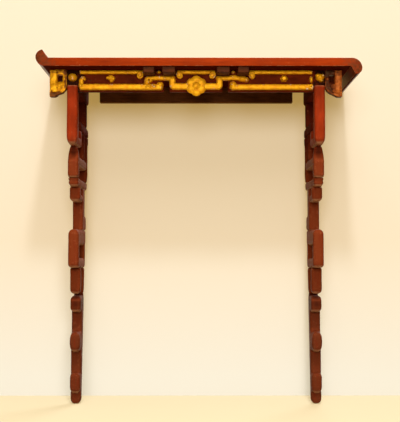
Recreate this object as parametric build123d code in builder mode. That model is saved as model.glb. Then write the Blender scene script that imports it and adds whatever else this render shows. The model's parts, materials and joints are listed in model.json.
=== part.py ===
"""Altar table: a plank top with turned ends, a gilt frieze and two fretwork side panels.

Millimetres. X runs along the top, Y from the front edge back to the wall, Z up.
The origin is on the floor, in the middle of the table's outline.
"""
import os

from build123d import *

os.makedirs("parts", exist_ok=True)

# Overall
top_height = 855.0
board_thickness = 20.0
board_depth = 300.0
leg_span = 639.0            # over the outer faces of the side panels
left_overhang = 70.0        # left panel's outer face to the end of the up-turned lip
right_overhang = 84.0       # right panel's outer face to the end of the down-turned lip
panel_thickness = 27.0
front_overhang = 46.0       # front edge of the top to the front of the legs

# Joints
joint_gap = 0.1             # clearance all round a tenon, tongue or housed board
tenon_thickness = 9.0
tenon_length = 8.0
tenon_shoulder = 4.0        # edge of a bar to the edge of its tenon
edge_bevel = 4.4            # run round both faces of a side panel after it is joined up

# Top
left_lip_length = 29.0      # joint with the plank to the end of the lip
left_lip_rise = 20.0
left_lip_lean = 12.6        # how far the tip's inner corner stands outside the joint
left_lip_foot = 11.0        # flat underside outside the joint
left_nose_rise = 2.6        # widest point of the lip above the top
left_nose_bulge = 4.2
left_belly_bulge = 5.0
right_lip_length = 58.0
right_lip_drop = 19.0       # below the underside of the plank
right_nose_radius = 25.0
right_throat = 27.2         # end of the lip to its inner corner under the plank
right_tip_flat = 2.2
tongue_thickness = 7.0
tongue_length = 10.0
batten_width = 42.0
batten_thickness = 16.0
batten_housing = 7.0        # how deep a batten sits in the plank
batten_flare = 3.0          # dovetail flare on each side
batten_spacing = 300.0
cleat_clearance = 30.5      # each end of the cleat to the side panel
cleat_height = 43.0
cleat_thickness = 20.0

# Frieze
frieze_height = 54.0
frieze_thickness = 12.0
relief = 10.0               # how far the gilt work stands in front of the ground
relief_bevel = 1.5
notch_width = 13.5
notch_height = 29.0
notch_middle = 72.5         # middle of the frieze to the middle of each notch
rail_clearance = 2.5        # end of a rail to the leg
upper_rail_height = 11.0
upper_rail_inner = 138.0    # middle of the frieze to the outer rails' curled ends
centre_rail_half = 41.0
curl_radius = 8.5
curl_drop = 13.0            # underside of the plank to the middle of a curl
lower_rail_height = 16.0
lower_rail_lift = 3.5       # lower edge of the frieze to the rail
lower_rail_inner = 91.0     # middle of the frieze to the knob on the rail's end
knob_radius = 8.0
knob_lift = 17.0            # lower edge of the frieze to the middle of the knob
left_bud_radius = 8.0       # the small bud on the rail's other end
right_bud_radius = 5.5
bud_lift = 33.0
bud_stem = 7.0
fret_outer = 129.0
fret_inner = 51.0
fret_bar = 10.5
fret_foot = 16.0
fret_riser = 15.0
fret_drop = 15.0            # underside of the plank to the top of the fret
fret_foot_lift = 5.0        # lower edge of the frieze to the fret's lower bar
fret_hook = 18.0
rosette_lift = 14.0         # lower edge of the frieze to the middle of the rosette
petal_count = 6
petal_radius = 9.5
petal_circle = 17.0
petal_relief = 12.0
rosette_boss_radius = 10.5
rosette_boss_relief = 15.0
stud_radius = 9.8
stud_lift = 33.0
stud_relief = 9.0
left_stud = 212.0           # middle of the frieze to the left stud
right_stud = 218.0
head_boss_radius = 11.0
head_boss_lift = 36.0
head_boss_relief = 11.0
cheek_height = 16.0         # lower edge of the frieze to the top of a leg's front cheek
spandrel_width = 42.0
spandrel_height = 67.0
spandrel_heel = 42.5        # underside of the plank to the lower edge beside the leg
spandrel_toe = 12.0         # width of the lowest point
spandrel_step = 6.0         # rise from the toe to the lobe beside it
spandrel_lobe = 20.0        # outer face of the leg to the lobe's end
spandrel_lobe_bulge = 4.0
spandrel_hole_in = 9.5      # outer face of the leg to the piercing
spandrel_hole_width = 14.0
spandrel_hole_height = 21.0
spandrel_hole_drop = 12.0
strut_height = 15.0
strut_reach = 40.0          # forward of the legs' front, under the overhang
strut_inner_width = 31.0
strut_outer_width = 27.0
strut_gap = 20.0
bead_radius = 5.0
bead_relief = 8.0

# Side panel, heights, from the top down
bar_width = 24.0
head_rail_height = 52.0
upper_opening = 65.0        # head rail to link rail
hook_opening = 20.0         # link rail to the return of the front hook
lobe_gap = 6.0              # front post to the lobe below it
lobe_neck_height = 10.0
lobe_height = 73.0
cross_opening = 31.0        # cross rail to bracket rail
bracket_height = 22.0
under_hook_height = 36.0
under_hook_bar = 20.0
neck_length = 107.0
bud_height = 40.0
loop_top_bar = 38.0
loop_opening = 34.0
loop_bottom_bar = 25.0
knee_length = 71.0          # loop to the lobe below the knee
knee_gap = 5.0              # end of the knee hook to that lobe
knee_lobe_height = 41.0

# Side panel, heights above the floor
oval_top = 183.0
oval_bottom = 133.0
ankle_top = 79.0
foot_top = 30.0

# Side panel, distances back from the front of the legs
head_rail_back = 250.0
front_post_back = 34.0
hook_back = 100.0
link_back = 240.0
rear_post_back = 211.0
rear_drop_front = 204.0
rear_drop_back = 228.0
rear_drop_foot = 218.0
rear_drop_head = 28.0       # height of its wide head under the link rail
rear_drop_slope = 8.0
rear_drop_heel = 19.0
inner_post_front = 140.0
lobe_front = 25.0
lobe_back = 53.0
lobe_neck_front = 20.0
lobe_neck_back = 44.0
bracket_front = 35.0
under_hook_front = 65.0
neck_front = 127.0
neck_back = 171.0
neck_bud_back = 200.0
loop_front = 42.0
loop_back = 192.0
loop_foot_back = 184.0
knee_front = 84.0
spine_front = 155.0
leg_top_back = 176.0
knee_lobe_front = 91.0
waist_front = 121.0
oval_front = 83.0
shin_front = 110.0
ankle_front = 92.0
foot_front = 105.0
foot_back = 131.0

# Side panel, corner radii
outer_radius = 9.0
lobe_radius = 12.0
post_foot_radius = 15.0
tight_radius = 6.0          # where a rounded end stops close to its neighbour
inner_radius = 3.0
foot_radius = 5.0

# Pegs
peg_diameter = 8.0
peg_length = 26.0
peg_in_rail = 14.0
peg_front = 80.0
peg_back = 200.0

# Places that follow from the sizes
left_reach = leg_span / 2 + left_overhang
right_reach = leg_span / 2 + right_overhang
middle_x = (left_reach - right_reach) / 2
board_bottom = top_height - board_thickness
front_edge_y = -board_depth / 2
back_edge_y = board_depth / 2
leg_front_y = front_edge_y + front_overhang
ground_front_y = leg_front_y + relief
ground_back_y = ground_front_y + frieze_thickness
half_span = leg_span / 2
panel_inner = half_span - panel_thickness
panel_middle = half_span - panel_thickness / 2
frieze_bottom = board_bottom - frieze_height
cheek_top = frieze_bottom + cheek_height
left_joint = left_lip_length - left_reach
right_joint = right_reach - right_lip_length

head_bottom = board_bottom - head_rail_height
link_top = head_bottom - upper_opening
link_bottom = link_top - bar_width
hook_top = link_bottom - hook_opening
post_bottom = hook_top - bar_width
lobe_top = post_bottom - lobe_gap
bracket_top = lobe_top - lobe_height
bracket_bottom = bracket_top - bracket_height
cross_bottom = bracket_top + cross_opening
cross_top = cross_bottom + bar_width
under_hook_bottom = bracket_bottom - under_hook_height
loop_top = bracket_bottom - neck_length
opening_top = loop_top - loop_top_bar
opening_bottom = opening_top - loop_opening
loop_bottom = opening_bottom - loop_bottom_bar
knee_bottom = loop_bottom - knee_length
knee_lobe_bottom = knee_bottom - knee_lobe_height



def save(piece, name):
    """Label a finished piece and write it to its own file."""
    piece.part.label = name
    export_step(piece.part, f"parts/{name}.step")


def facing_front(y):
    """Plane that looks out of the front, with x measured from the middle of the legs."""
    return Plane(origin=(middle_x, y, 0), x_dir=(1, 0, 0), z_dir=(0, -1, 0))


def facing_side(panel_x):
    """Plane on a panel's left face, with x measured back from the front of the legs."""
    left_face = panel_x - panel_thickness / 2
    return Plane(origin=(left_face, leg_front_y, 0), x_dir=(0, 1, 0), z_dir=(1, 0, 0))


def span(low_x, high_x, low_y, high_y, mode=Mode.ADD):
    """Rectangle in the open sketch, given by its edges."""
    with Locations(((low_x + high_x) / 2, (low_y + high_y) / 2)):
        Rectangle(abs(high_x - low_x), abs(high_y - low_y), mode=mode)


def rounded(*corners):
    """Face in the open sketch, from corners given as x, y and radius."""
    with BuildLine() as edge:
        FilletPolyline([corner[:2] for corner in corners],
                       radius=[corner[2] for corner in corners], close=True)
    make_face(edge.edges())


# A tenon is front, back, bottom and top. These four grow one out of a member's end.
def tenon_up(front, back, z):
    return front + tenon_shoulder, back - tenon_shoulder, z, z + tenon_length


def tenon_down(front, back, z):
    return front + tenon_shoulder, back - tenon_shoulder, z - tenon_length, z


def tenon_back(bottom, top, y):
    return y, y + tenon_length, bottom + tenon_shoulder, top - tenon_shoulder


def tenon_forward(bottom, top, y):
    return y - tenon_length, y, bottom + tenon_shoulder, top - tenon_shoulder


def add_tenon(panel_x, joint):
    """Tenon on the open part, in the middle of the panel's thickness."""
    front, back, bottom, top = joint
    with Locations((panel_x, leg_front_y + (front + back) / 2, (bottom + top) / 2)):
        Box(tenon_thickness, back - front, top - bottom)


def cut_mortise(panel_x, joint):
    """Mortise for that tenon, with its clearance."""
    front, back, bottom, top = joint
    grow = 2 * joint_gap
    with Locations((panel_x, leg_front_y + (front + back) / 2, (bottom + top) / 2)):
        Box(tenon_thickness + grow, back - front + grow, top - bottom + grow, mode=Mode.SUBTRACT)


# Top
def batten_section(x, gap):
    """Batten's end in the open sketch: a square strip with a dovetail above it."""
    half = batten_width / 2 + gap
    lowest = board_bottom + batten_housing - batten_thickness
    highest = board_bottom + batten_housing + gap
    with BuildLine() as edge:
        Polyline((x - half, lowest), (x + half, lowest), (x + half, board_bottom),
                 (x + half + batten_flare, highest), (x - half - batten_flare, highest),
                 (x - half, board_bottom), close=True)
    make_face(edge.edges())


batten_places = (("left", -batten_spacing / 2), ("right", batten_spacing / 2))
batten_length = back_edge_y - cleat_thickness - ground_back_y

with BuildPart() as top_plank:
    with BuildSketch(facing_front(back_edge_y)):
        span(left_joint, right_joint, board_bottom, top_height)
    extrude(amount=board_depth)
    with BuildSketch(facing_front(back_edge_y)):
        middle_z = (board_bottom + top_height) / 2
        span(left_joint - tongue_length, right_joint + tongue_length,
             middle_z - tongue_thickness / 2, middle_z + tongue_thickness / 2)
    extrude(amount=board_depth)
    with BuildSketch(facing_front(ground_back_y + batten_length + joint_gap)):
        for place, x in batten_places:
            batten_section(x, joint_gap)
    extrude(amount=batten_length + 2 * joint_gap, mode=Mode.SUBTRACT)
    for panel_x in (middle_x - panel_middle, middle_x + panel_middle):
        for back in (peg_front, peg_back):
            with Locations((panel_x, leg_front_y + back, board_bottom)):
                Cylinder(peg_diameter / 2 + joint_gap, peg_length - peg_in_rail + joint_gap,
                         align=(Align.CENTER, Align.CENTER, Align.MIN), mode=Mode.SUBTRACT)
save(top_plank, "top_plank")

with BuildPart() as left_end_lip:
    with BuildSketch(facing_front(back_edge_y)):
        with BuildLine():
            tip = (left_joint - left_lip_lean, top_height + left_lip_rise)
            nose = (-left_reach, top_height + left_nose_rise)
            foot = (left_joint - left_lip_foot, board_bottom)
            Line((left_joint, board_bottom), (left_joint, top_height))
            Line((left_joint, top_height), tip)
            SagittaArc(tip, nose, -left_nose_bulge)
            SagittaArc(nose, foot, -left_belly_bulge)
            Line(foot, (left_joint, board_bottom))
        make_face()
    extrude(amount=board_depth)
    with BuildSketch(facing_front(back_edge_y)):
        groove = tongue_thickness / 2 + joint_gap
        span(left_joint - tongue_length - joint_gap, left_joint, middle_z - groove, middle_z + groove)
    extrude(amount=board_depth, mode=Mode.SUBTRACT)
save(left_end_lip, "left_end_lip")

with BuildPart() as right_end_lip:
    with BuildSketch(facing_front(back_edge_y)):
        with BuildLine():
            tip_radius = board_thickness + right_lip_drop - right_nose_radius
            tip_z = board_bottom - right_lip_drop
            Line((right_joint, board_bottom), (right_joint, top_height))
            Line((right_joint, top_height), (right_reach - right_nose_radius, top_height))
            JernArc((right_reach - right_nose_radius, top_height), (1, 0), right_nose_radius, -90)
            JernArc((right_reach, top_height - right_nose_radius), (0, -1), tip_radius, -90)
            Polyline((right_reach - tip_radius, tip_z), (right_reach - tip_radius - right_tip_flat, tip_z),
                     (right_reach - right_throat, board_bottom), (right_joint, board_bottom))
        make_face()
    extrude(amount=board_depth)
    with BuildSketch(facing_front(back_edge_y)):
        span(right_joint, right_joint + tongue_length + joint_gap, middle_z - groove, middle_z + groove)
    extrude(amount=board_depth, mode=Mode.SUBTRACT)
save(right_end_lip, "right_end_lip")

for place, x in batten_places:
    with BuildPart() as batten:
        with BuildSketch(facing_front(ground_back_y + batten_length)):
            batten_section(x, 0.0)
        extrude(amount=batten_length)
    save(batten, f"{place}_batten")

with BuildPart() as rear_cleat:
    with BuildSketch(facing_front(back_edge_y)):
        cleat_end = panel_inner - cleat_clearance
        span(-cleat_end, cleat_end, board_bottom - cleat_height, board_bottom)
    extrude(amount=cleat_thickness)
save(rear_cleat, "rear_cleat")


# Frieze
rail_end = panel_inner - rail_clearance
rosette_z = frieze_bottom + rosette_lift
rosette_radius = petal_circle + petal_radius
lower_rail_bottom = frieze_bottom + lower_rail_lift
fret_top = board_bottom - fret_drop
fret_bottom = frieze_bottom + fret_foot_lift
bead_middle = fret_inner + strut_inner_width + strut_gap / 2


def bevel_relief(piece):
    """Bevel the front edges of a carving."""
    chamfer(piece.faces().sort_by(Axis.Y)[0].edges(), relief_bevel)


def disc(x, z, radius):
    """Round stud in the open sketch."""
    with Locations((x, z)):
        Circle(radius)


with BuildPart() as frieze_board:
    with BuildSketch(facing_front(ground_back_y)):
        span(-half_span, half_span, frieze_bottom, board_bottom)
        for x in (-notch_middle, notch_middle):
            with Locations((x, frieze_bottom)):
                Rectangle(notch_width, notch_height, align=(Align.CENTER, Align.MIN), mode=Mode.SUBTRACT)
    extrude(amount=frieze_thickness)
save(frieze_board, "frieze_board")

with BuildPart() as centre_upper_rail:
    with BuildSketch(facing_front(ground_front_y)):
        span(-centre_rail_half, centre_rail_half, board_bottom - upper_rail_height, board_bottom)
        disc(-centre_rail_half, board_bottom - curl_drop, curl_radius)
        disc(centre_rail_half, board_bottom - curl_drop, curl_radius)
    extrude(amount=relief)
    bevel_relief(centre_upper_rail)
save(centre_upper_rail, "centre_upper_rail")

for side, sign, bud_radius in (("left", -1, left_bud_radius), ("right", 1, right_bud_radius)):
    with BuildPart() as upper_rail:
        with BuildSketch(facing_front(ground_front_y)):
            span(sign * upper_rail_inner, sign * rail_end, board_bottom - upper_rail_height, board_bottom)
            disc(sign * upper_rail_inner, board_bottom - curl_drop, curl_radius)
        extrude(amount=relief)
        bevel_relief(upper_rail)
    save(upper_rail, f"{side}_upper_rail")

    with BuildPart() as lower_rail:
        with BuildSketch(facing_front(ground_front_y)):
            span(sign * lower_rail_inner, sign * rail_end,
                 lower_rail_bottom, lower_rail_bottom + lower_rail_height)
            disc(sign * lower_rail_inner, frieze_bottom + knob_lift, knob_radius)
            bud_x = rail_end - bud_stem / 2
            span(sign * (bud_x - bud_stem / 2), sign * rail_end,
                 lower_rail_bottom, frieze_bottom + bud_lift)
            disc(sign * (rail_end - bud_radius), frieze_bottom + bud_lift, bud_radius)
        extrude(amount=relief)
        bevel_relief(lower_rail)
    save(lower_rail, f"{side}_lower_rail")

    with BuildPart() as fret:
        with BuildSketch(facing_front(ground_front_y)):
            span(sign * fret_inner, sign * fret_outer, fret_top - fret_bar, fret_top)
            span(sign * (fret_outer - fret_bar), sign * fret_outer, fret_top - fret_hook, fret_top)
            span(sign * fret_inner, sign * (fret_inner + fret_riser), fret_bottom, fret_top)
            span(0, sign * (fret_inner + fret_riser), fret_bottom, fret_bottom + fret_foot)
            with Locations((0, rosette_z)):
                Circle(rosette_radius + joint_gap, mode=Mode.SUBTRACT)
        extrude(amount=relief)
        bevel_relief(fret)
    save(fret, f"{side}_fret")

    with BuildPart() as spandrel:
        with BuildSketch(facing_front(ground_back_y)):
            tip_x = half_span + spandrel_width
            tip_z = board_bottom - spandrel_height
            with BuildLine():
                Polyline((sign * half_span, board_bottom - spandrel_heel), (sign * half_span, board_bottom),
                         (sign * tip_x, board_bottom), (sign * tip_x, tip_z))
                toe = (sign * (tip_x - spandrel_toe), tip_z)
                lobe_end = (sign * (half_span + spandrel_lobe), tip_z + spandrel_step)
                Polyline((sign * tip_x, tip_z), toe, lobe_end)
                SagittaArc(lobe_end, (sign * half_span, board_bottom - spandrel_heel),
                           sign * spandrel_lobe_bulge)
            make_face()
            hole_in = half_span + spandrel_hole_in
            hole_top = board_bottom - spandrel_hole_drop
            span(sign * hole_in, sign * (hole_in + spandrel_hole_width),
                 hole_top - spandrel_hole_height, hole_top, Mode.SUBTRACT)
        extrude(amount=relief + frieze_thickness)
    save(spandrel, f"{side}_spandrel")

    with BuildPart() as strut_blocks:
        with BuildSketch(facing_front(ground_front_y)):
            outer = fret_inner + strut_inner_width + strut_gap
            span(sign * fret_inner, sign * (fret_inner + strut_inner_width),
                 board_bottom - strut_height, board_bottom)
            span(sign * outer, sign * (outer + strut_outer_width),
                 board_bottom - strut_height, board_bottom)
        extrude(amount=relief + strut_reach)
    save(strut_blocks, f"{side}_strut_blocks")

with BuildPart() as rosette:
    with BuildSketch(facing_front(ground_front_y)):
        with Locations((0, rosette_z)):
            Circle(petal_circle)
            with PolarLocations(petal_circle, petal_count, start_angle=90):
                Circle(petal_radius)
    extrude(amount=petal_relief)
    with BuildSketch(facing_front(ground_front_y - petal_relief)):
        disc(0, rosette_z, rosette_boss_radius)
    extrude(amount=rosette_boss_relief - petal_relief)
save(rosette, "rosette")

with BuildPart() as ground_studs:
    with BuildSketch(facing_front(ground_front_y)):
        disc(-left_stud, frieze_bottom + stud_lift, stud_radius)
        disc(right_stud, frieze_bottom + stud_lift, stud_radius)
    extrude(amount=stud_relief)
    chamfer(ground_studs.faces().filter_by(Axis.Y).group_by(Axis.Y)[0].edges(), relief_bevel)
save(ground_studs, "ground_studs")

with BuildPart() as head_bosses:
    with BuildSketch(facing_front(ground_front_y)):
        disc(-panel_middle, frieze_bottom + head_boss_lift, head_boss_radius)
        disc(panel_middle, frieze_bottom + head_boss_lift, head_boss_radius)
    extrude(amount=head_boss_relief)
    chamfer(head_bosses.faces().filter_by(Axis.Y).group_by(Axis.Y)[0].edges(), relief_bevel)
save(head_bosses, "head_bosses")

with BuildPart() as strut_beads:
    with BuildSketch(facing_front(ground_front_y)):
        disc(-bead_middle, board_bottom - bead_radius, bead_radius)
        disc(bead_middle, board_bottom - bead_radius, bead_radius)
    extrude(amount=bead_relief)
save(strut_beads, "strut_beads")


# Side panels: each member's outline, as distance back, height and corner radius
hook_end = hook_back - bar_width
rear_post_front = rear_post_back - bar_width
inner_post_back = inner_post_front + bar_width
under_hook_back = under_hook_front + bar_width
under_hook_top = under_hook_bottom + under_hook_bar
loop_front_back = loop_front + bar_width
loop_rear_front = loop_foot_back - bar_width
knee_back = knee_front + bar_width
knee_hook_bottom = knee_bottom + knee_gap
head_corner = link_bottom - rear_drop_head


def bar(front, back, bottom, top):
    """Outline of a plain bar with square corners."""
    return (front, bottom, 0), (back, bottom, 0), (back, top, 0), (front, top, 0)


outlines = {
    "front_post": (
        (0, post_bottom, post_foot_radius), (front_post_back, post_bottom, 0),
        (front_post_back, board_bottom, 0), (0, board_bottom, 0)),
    "head_rail": (
        (front_post_back, head_bottom, 0), (head_rail_back, head_bottom, outer_radius),
        (head_rail_back, board_bottom, 0), (front_post_back, board_bottom, 0)),
    "front_hook": (
        (front_post_back, post_bottom, 0), (hook_back, post_bottom, lobe_radius),
        (hook_back, link_bottom, 0), (hook_end, link_bottom, 0),
        (hook_end, hook_top, inner_radius), (front_post_back, hook_top, 0)),
    "link_rail": (
        (hook_end, link_bottom, 0), (link_back, link_bottom, 0),
        (link_back, link_top, outer_radius), (hook_end, link_top, outer_radius)),
    "rear_post": bar(rear_post_front, rear_post_back, link_top, head_bottom),
    "rear_drop": (
        (rear_drop_front, bracket_top, 0), (rear_drop_foot, bracket_top, 0),
        (rear_drop_back, bracket_top + rear_drop_heel, outer_radius),
        (rear_drop_back, head_corner, inner_radius),
        (link_back, head_corner + rear_drop_slope, tight_radius),
        (link_back, link_bottom, 0), (rear_drop_front, link_bottom, 0)),
    "inner_post": bar(inner_post_front, inner_post_back, cross_top, link_bottom),
    "front_lobe": (
        (lobe_front, bracket_top, tight_radius), (lobe_back, bracket_top, 0),
        (lobe_back, lobe_top, outer_radius), (lobe_neck_back, lobe_top, 0),
        (lobe_neck_back, post_bottom, 0), (lobe_neck_front, post_bottom, 0),
        (lobe_neck_front, post_bottom - lobe_neck_height, 0),
        (lobe_front, post_bottom - lobe_neck_height - tight_radius, tight_radius)),
    "cross_rail": bar(lobe_back, rear_drop_front, cross_bottom, cross_top),
    "bracket_rail": (
        (bracket_front, bracket_bottom, outer_radius), (rear_drop_foot, bracket_bottom, outer_radius),
        (rear_drop_foot, bracket_top, 0), (bracket_front, bracket_top, 0)),
    "under_hook": (
        (under_hook_front, under_hook_bottom, lobe_radius), (neck_front, under_hook_bottom, 0),
        (neck_front, under_hook_top, 0), (under_hook_back, under_hook_top, inner_radius),
        (under_hook_back, bracket_bottom, 0), (under_hook_front, bracket_bottom, 0)),
    "neck_post": (
        (neck_front, loop_top, 0), (neck_bud_back, loop_top, tight_radius),
        (neck_bud_back, loop_top + bud_height, lobe_radius),
        (neck_back, loop_top + bud_height, inner_radius),
        (neck_back, bracket_bottom, 0), (neck_front, bracket_bottom, 0)),
    "loop_top": (
        (loop_front, opening_top, 0), (loop_back, opening_top, 0),
        (loop_back, loop_top, 0), (loop_front, loop_top, lobe_radius)),
    "loop_bottom": (
        (loop_front, loop_bottom, lobe_radius), (loop_foot_back, loop_bottom, tight_radius),
        (loop_foot_back, opening_bottom, 0), (loop_front, opening_bottom, 0)),
    "loop_front": bar(loop_front, loop_front_back, opening_bottom, opening_top),
    "loop_rear": bar(loop_rear_front, loop_foot_back, opening_bottom, opening_top),
    "knee_hook": (
        (knee_front, knee_hook_bottom, lobe_radius), (knee_back, knee_hook_bottom, outer_radius),
        (knee_back, loop_bottom, 0), (knee_front, loop_bottom, 0)),
    "lower_leg": (
        (spine_front, loop_bottom, 0), (spine_front, knee_bottom, inner_radius),
        (knee_lobe_front, knee_bottom, lobe_radius), (knee_lobe_front, knee_lobe_bottom, lobe_radius),
        (waist_front, knee_lobe_bottom, inner_radius), (waist_front, oval_top, inner_radius),
        (oval_front, oval_top, lobe_radius), (oval_front, oval_bottom, lobe_radius),
        (shin_front, oval_bottom, inner_radius), (shin_front, ankle_top, inner_radius),
        (ankle_front, ankle_top, outer_radius), (ankle_front, foot_top, outer_radius),
        (foot_front, foot_top, inner_radius), (foot_front, 0, foot_radius),
        (foot_back, 0, foot_radius), (leg_top_back, loop_bottom, 0)),
}

# Each joint: the member with the tenon, the member with the mortise, and the tenon
joints = (
    ("head_rail", "front_post", tenon_forward(head_bottom, cheek_top, front_post_back)),
    ("front_hook", "front_post", tenon_forward(post_bottom + tenon_length, hook_top, front_post_back)),
    ("front_hook", "link_rail", tenon_up(hook_end, hook_back, link_bottom)),
    ("rear_post", "head_rail", tenon_up(rear_post_front, rear_post_back, head_bottom)),
    ("rear_post", "link_rail", tenon_down(rear_post_front, rear_post_back, link_top)),
    ("rear_drop", "link_rail", tenon_up(rear_drop_front, rear_drop_back, link_bottom)),
    ("rear_drop", "bracket_rail", tenon_down(rear_drop_front, rear_drop_foot, bracket_top)),
    ("inner_post", "link_rail", tenon_up(inner_post_front, inner_post_back, link_bottom)),
    ("inner_post", "cross_rail", tenon_down(inner_post_front, inner_post_back, cross_top)),
    ("front_lobe", "front_post", tenon_up(lobe_neck_front, front_post_back, post_bottom)),
    ("front_lobe", "bracket_rail", tenon_down(bracket_front, lobe_back, bracket_top)),
    ("cross_rail", "front_lobe", tenon_forward(cross_bottom, cross_top, lobe_back)),
    ("cross_rail", "rear_drop", tenon_back(cross_bottom, cross_top, rear_drop_front)),
    ("neck_post", "bracket_rail", tenon_up(neck_front, neck_back, bracket_bottom)),
    ("neck_post", "loop_top", tenon_down(neck_front, neck_back, loop_top)),
    ("under_hook", "neck_post", tenon_back(under_hook_bottom, under_hook_top, neck_front)),
    ("under_hook", "bracket_rail", tenon_up(under_hook_front, under_hook_back, bracket_bottom)),
    ("loop_front", "loop_top", tenon_up(loop_front, loop_front_back, opening_top)),
    ("loop_front", "loop_bottom", tenon_down(loop_front, loop_front_back, opening_bottom)),
    ("loop_rear", "loop_top", tenon_up(loop_rear_front, loop_foot_back, opening_top)),
    ("loop_rear", "loop_bottom", tenon_down(loop_rear_front, loop_foot_back, opening_bottom)),
    ("knee_hook", "loop_bottom", tenon_up(knee_front, knee_back, loop_bottom)),
    ("lower_leg", "loop_bottom", tenon_up(spine_front, leg_top_back, loop_bottom)),
)

for side, panel_x in (("left", middle_x - panel_middle), ("right", middle_x + panel_middle)):
    panel_plane = facing_side(panel_x)

    # The joined panel, with its edges bevelled as one, which every member is then cut from
    with BuildPart() as panel:
        with BuildSketch(panel_plane):
            for outline in outlines.values():
                rounded(*outline)
        extrude(amount=panel_thickness)
        face_edges = panel.faces().filter_by(Axis.X).edges()
        chamfer(face_edges.filter_by_position(Axis.Z, 0, board_bottom - edge_bevel), edge_bevel)

    for name, outline in outlines.items():
        with BuildPart() as member:
            with BuildSketch(panel_plane):
                rounded(*outline)
            extrude(amount=panel_thickness)
            add(panel.part, mode=Mode.INTERSECT)
            for tenoned, mortised, joint in joints:
                if name == tenoned:
                    add_tenon(panel_x, joint)
                if name == mortised:
                    cut_mortise(panel_x, joint)
            if name == "front_post":
                slot_front = ground_front_y - leg_front_y - joint_gap
                slot_back = ground_back_y - leg_front_y + joint_gap
                with BuildSketch(panel_plane):
                    span(slot_front, slot_back, frieze_bottom, board_bottom)
                    span(0, slot_back, cheek_top, board_bottom)
                extrude(amount=panel_thickness, mode=Mode.SUBTRACT)
            if name == "head_rail":
                for back in (peg_front, peg_back):
                    with Locations((panel_x, leg_front_y + back, board_bottom)):
                        Cylinder(peg_diameter / 2 + joint_gap, peg_in_rail + joint_gap,
                                 align=(Align.CENTER, Align.CENTER, Align.MAX), mode=Mode.SUBTRACT)
        save(member, f"{side}_{name}")

    with BuildPart() as pegs:
        for back in (peg_front, peg_back):
            with Locations((panel_x, leg_front_y + back, board_bottom - peg_in_rail)):
                Cylinder(peg_diameter / 2, peg_length, align=(Align.CENTER, Align.CENTER, Align.MIN))
    save(pegs, f"{side}_pegs")
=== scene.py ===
import json
import math
import bmesh
import bpy
import numpy as np
from mathutils import Matrix, Vector, noise


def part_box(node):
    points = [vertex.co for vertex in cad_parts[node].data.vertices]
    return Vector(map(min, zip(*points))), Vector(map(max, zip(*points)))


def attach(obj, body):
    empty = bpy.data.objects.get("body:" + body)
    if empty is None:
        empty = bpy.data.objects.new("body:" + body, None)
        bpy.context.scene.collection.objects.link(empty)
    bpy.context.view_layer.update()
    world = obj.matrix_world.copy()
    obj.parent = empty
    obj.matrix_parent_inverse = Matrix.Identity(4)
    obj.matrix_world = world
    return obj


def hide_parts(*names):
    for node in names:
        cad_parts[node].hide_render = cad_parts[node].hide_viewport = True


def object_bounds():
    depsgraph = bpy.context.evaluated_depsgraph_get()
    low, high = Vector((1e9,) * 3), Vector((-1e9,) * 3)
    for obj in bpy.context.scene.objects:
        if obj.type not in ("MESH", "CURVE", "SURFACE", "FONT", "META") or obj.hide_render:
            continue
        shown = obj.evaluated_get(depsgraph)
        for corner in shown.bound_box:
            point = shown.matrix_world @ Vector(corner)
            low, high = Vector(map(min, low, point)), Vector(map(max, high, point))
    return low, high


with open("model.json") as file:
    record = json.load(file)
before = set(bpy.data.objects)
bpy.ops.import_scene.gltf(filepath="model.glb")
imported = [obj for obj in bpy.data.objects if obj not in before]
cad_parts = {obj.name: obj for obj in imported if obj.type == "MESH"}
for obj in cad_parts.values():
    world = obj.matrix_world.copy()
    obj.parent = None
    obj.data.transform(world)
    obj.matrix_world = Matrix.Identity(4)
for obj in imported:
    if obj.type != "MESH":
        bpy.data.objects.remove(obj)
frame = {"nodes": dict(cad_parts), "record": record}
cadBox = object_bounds()
mm = 0.001

# socket numbers of the Mix and Map Range nodes, whose sockets share names
mixFactor, mixFloatA, mixFloatB, mixA, mixB, mixColour = 0, 2, 3, 6, 7, 2
rangeIn, fromLow, fromHigh, toLow, toHigh = 0, 1, 2, 3, 4


def toLinear(hexColour):
    # sRGB hex to the linear colour that a shader wants
    levels = [int(hexColour[i:i + 2], 16) / 255 for i in (1, 3, 5)]
    return tuple(c / 12.92 if c <= 0.04045 else ((c + 0.055) / 1.055) ** 2.4 for c in levels) + (1.0,)


def addNode(tree, kind, inputs=(), **settings):
    # one node with its settings, and its inputs as values or links
    node = tree.nodes.new(kind)
    for name, value in settings.items():
        setattr(node, name, value)
    for key, value in dict(inputs).items():
        if isinstance(value, bpy.types.NodeSocket):
            tree.links.new(value, node.inputs[key])
        else:
            node.inputs[key].default_value = value
    return node


def newMaterial(name):
    material = bpy.data.materials.new(name)
    material.use_nodes = True
    material.node_tree.nodes.clear()
    return material, material.node_tree


def coated(tree, colour, coats):
    # lays coats over a colour: each is a tint, the field that it follows, and its spread, which is where on
    # the field it sets in, where it is full, and how much it then covers
    for tint, field, (begins, full, share) in coats:
        amount = addNode(tree, "ShaderNodeMapRange", {
            rangeIn: field, fromLow: begins, fromHigh: full, toHigh: share})
        coat = addNode(tree, "ShaderNodeMix", {
            mixFactor: amount.outputs[0], mixA: colour, mixB: toLinear(tint)}, data_type="RGBA")
        colour = coat.outputs[mixColour]
    return colour


def shaded(tree, look, inputs):
    # the surface of a finish, with what is the same all over it
    surface = addNode(tree, "ShaderNodeBsdfPrincipled", {
        **inputs, "IOR": look["ior"], "Specular IOR Level": look["gloss"],
        "Specular Tint": toLinear(look["glossTint"])})
    addNode(tree, "ShaderNodeOutputMaterial", {"Surface": surface.outputs[0]})


def link(name, data):
    piece = bpy.data.objects.new(name, data)
    bpy.context.scene.collection.objects.link(piece)
    return piece


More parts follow.
